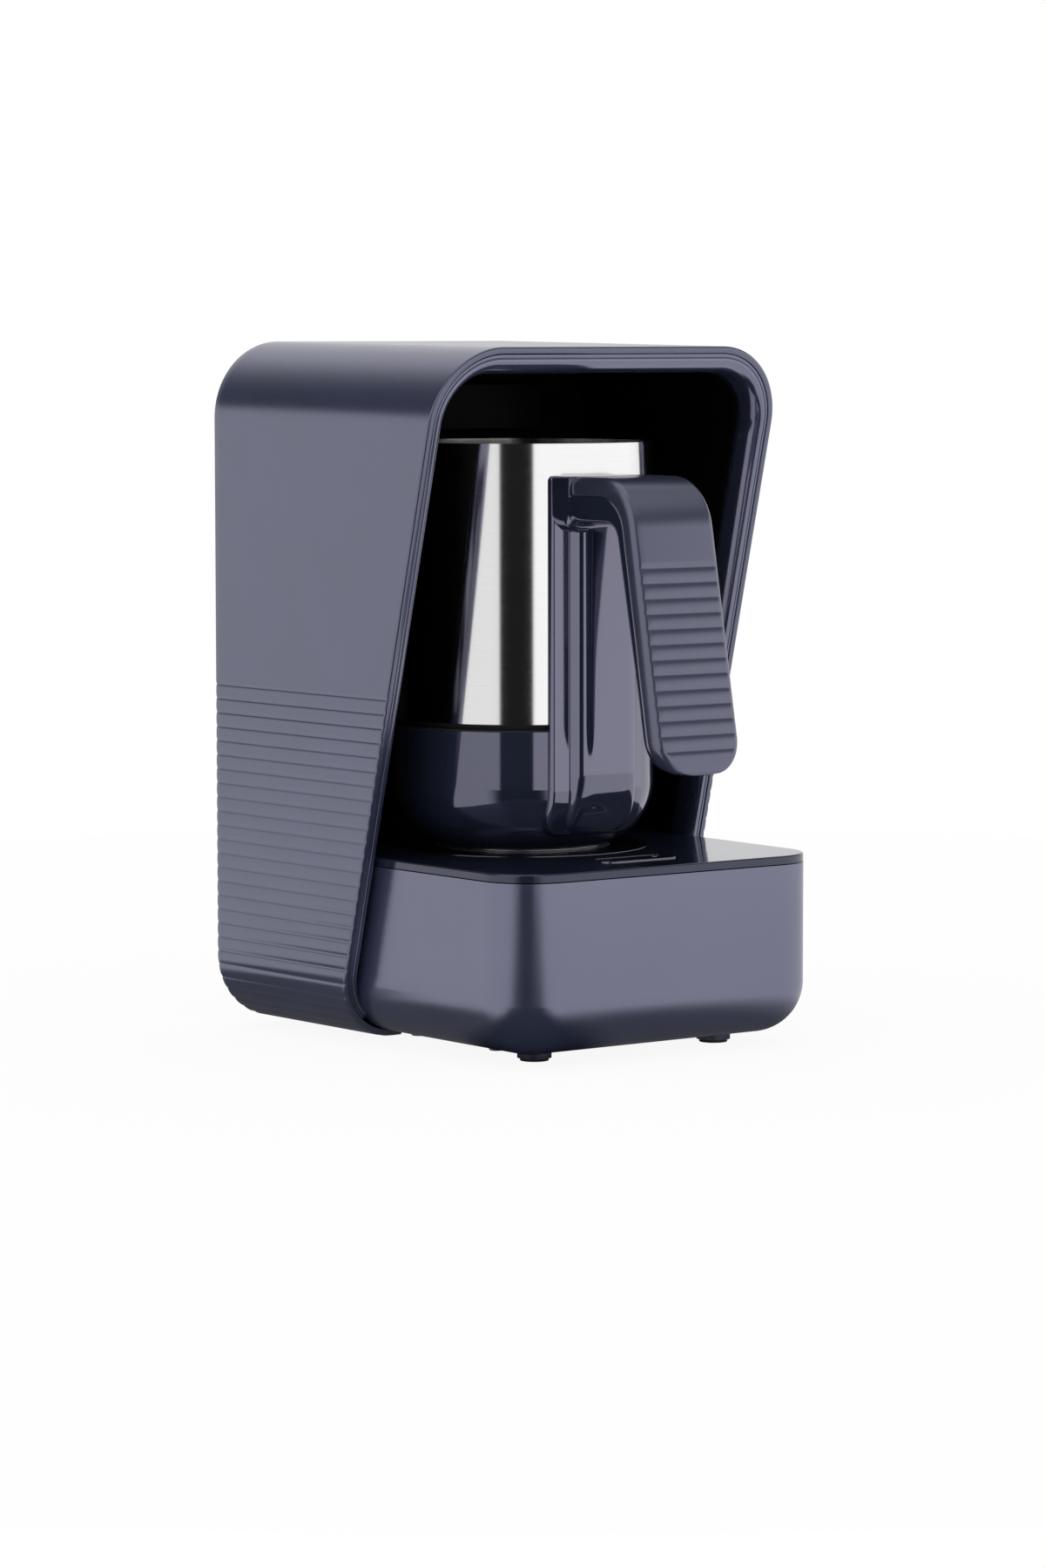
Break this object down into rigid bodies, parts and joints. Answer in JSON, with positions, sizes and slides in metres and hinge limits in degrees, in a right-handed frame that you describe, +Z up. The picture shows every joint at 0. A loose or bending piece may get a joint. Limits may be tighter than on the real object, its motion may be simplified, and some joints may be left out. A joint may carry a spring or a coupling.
{
  "type": "electric turkish coffee maker",
  "caption": "Countertop Turkish coffee maker: a leaning open hood over a heated base, with a lift-out steel pot, hook handle, press button and foam sensor.",
  "frame": {"origin": "on the table, under the centre of the whole machine's box; the pot's axis is 10.1 mm behind it", "axes": "+Z up; the front of the machine faces -Y; +X to the right seen from the front"},
  "size_m": [0.1534, 0.1852, 0.2432],
  "materials": {
    "body_plastic": "satin blue-grey moulded ABS",
    "plate_plastic": "high-gloss blue-grey",
    "black_plastic": "gloss black",
    "soft_grip": "soft-touch matte",
    "handle_plastic": "high-gloss blue-grey",
    "jacket_plastic": "high-gloss blue-grey",
    "steel": "satin turned stainless steel",
    "bright_trim": "polished",
    "button_face": "gloss, dark",
    "window": "translucent light guide",
    "rubber": "matte",
    "inner_plastic": "plain moulded",
    "board": "solder mask",
    "aluminium": "turned",
    "zinc": "zinc plated",
    "wire": "insulation"
  },
  "bodies": {
    "housing": {"base_housing": "body_plastic", "board_screws": "zinc", "bottom_cover": "inner_plastic", "button_bezel": "bright_trim", "button_spring": "steel", "buzzer": "inner_plastic", "capacitor": "inner_plastic", "cavity_liner": "black_plastic", "control_board": "board", "control_screws": "zinc", "cord_gland": "rubber", "cover_screws": "zinc", "feet": "body_plastic", "foot_pads": "rubber", "front_bezel": "body_plastic", "heat_shield": "aluminium", "heating_element": "steel", "hotplate": "aluminium", "outer_shell": "body_plastic", "power_board": "board", "power_relay": "inner_plastic", "press_switch": "inner_plastic", "rear_cover": "body_plastic", "rear_screws": "zinc", "seat_ring": "bright_trim", "sensor_board": "board", "sensor_head": "black_plastic", "sensor_screws": "zinc", "sensor_window": "button_face", "status_led": "window", "terminal_block": "inner_plastic", "thermal_fuse": "inner_plastic", "thermostat": "inner_plastic", "top_plate": "plate_plastic", "transformer": "inner_plastic", "wiring_harness": "wire"},
    "pot": {"pot_body": "steel", "pot_seal": "rubber", "pot_jacket": "jacket_plastic", "pot_base_disc": "aluminium", "handle_frame": "handle_plastic", "handle_grip": "soft_grip", "handle_bracket": "zinc", "handle_screw": "zinc"},
    "button": {"button_cap": "button_face", "light_window": "window"}
  },
  "joints": [
    {"name": "pot_pull", "type": "slide", "parent": "housing", "child": "pot", "axis": [0, -0.9994, 0.0349], "range_m": [0, 0.145]},
    {"name": "button_press", "type": "slide", "parent": "housing", "child": "button", "axis": [0, 0, -1], "range_m": [0, 0.0008], "stiffness_N_per_m": 1500, "deforming": ["button_spring"]}
  ]
}
